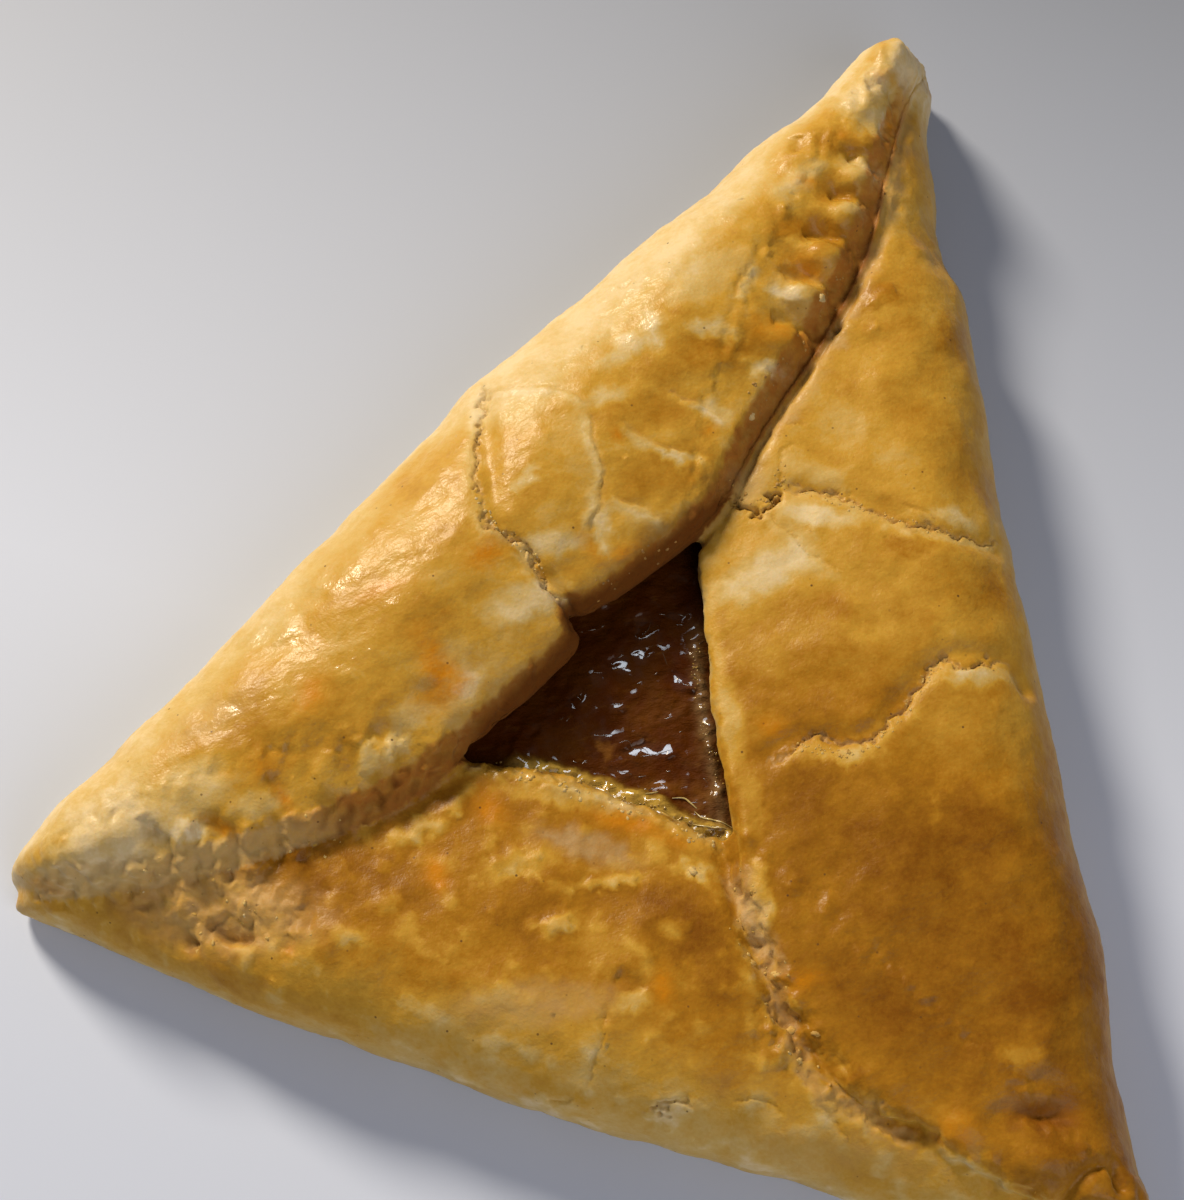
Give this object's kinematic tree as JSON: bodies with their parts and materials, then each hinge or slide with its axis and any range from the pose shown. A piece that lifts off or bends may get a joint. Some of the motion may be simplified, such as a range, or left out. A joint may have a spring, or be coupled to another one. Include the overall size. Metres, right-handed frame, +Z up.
{
  "type": "pineapple tart",
  "caption": "Triangular hand-folded pastry tart with fork-pressed edges and a small open window of pineapple jam; lies flat on its base.",
  "frame": {"origin": "middle of the tart's box, on the base that it rests on", "axes": "+Z up through the jam window, +Y towards the corner where the left flap laps over the right flap, +X towards the right-hand corner"},
  "size_m": [0.1092, 0.1154, 0.0185],
  "materials": {
    "crust": "baked shortcrust, pale cream to golden brown, with a thin egg-wash sheen",
    "jam": "sticky dark amber jam, wet gloss"
  },
  "bodies": {
    "root": {"crust": "crust", "jam": "jam"}
  },
  "joints": []
}
